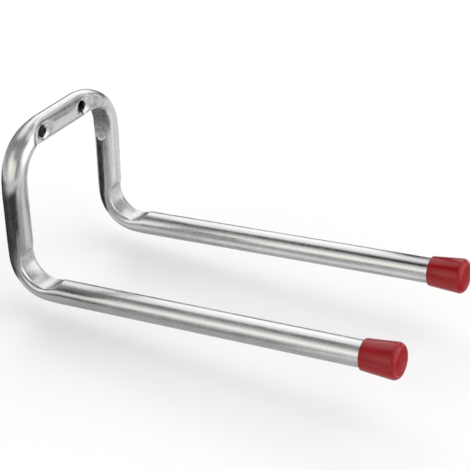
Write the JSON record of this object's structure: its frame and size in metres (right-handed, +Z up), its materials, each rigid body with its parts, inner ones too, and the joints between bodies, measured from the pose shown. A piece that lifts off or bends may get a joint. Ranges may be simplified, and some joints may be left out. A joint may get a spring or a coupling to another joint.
{
  "type": "double wall hook",
  "caption": "Wall hook bent from steel tube: a flattened crossbar with dimpled screw holes, legs with pressed bends, and long rising parallel arms ending in flared red caps.",
  "frame": {"origin": "on the wall plane, midway between the screw holes", "axes": "+X to the right as seen from the front, +Y into the wall, +Z up; the arms run towards -Y and rise"},
  "size_m": [0.1222, 0.2687, 0.1104],
  "materials": {
    "zinc_plated_steel": "bright zinc plate, satin, with fine lines along the tube",
    "red_cap": "semi-gloss soft vinyl"
  },
  "bodies": {
    "root": {"hook_tube": "zinc_plated_steel", "end_cap_left": "red_cap", "end_cap_right": "red_cap"}
  },
  "joints": []
}
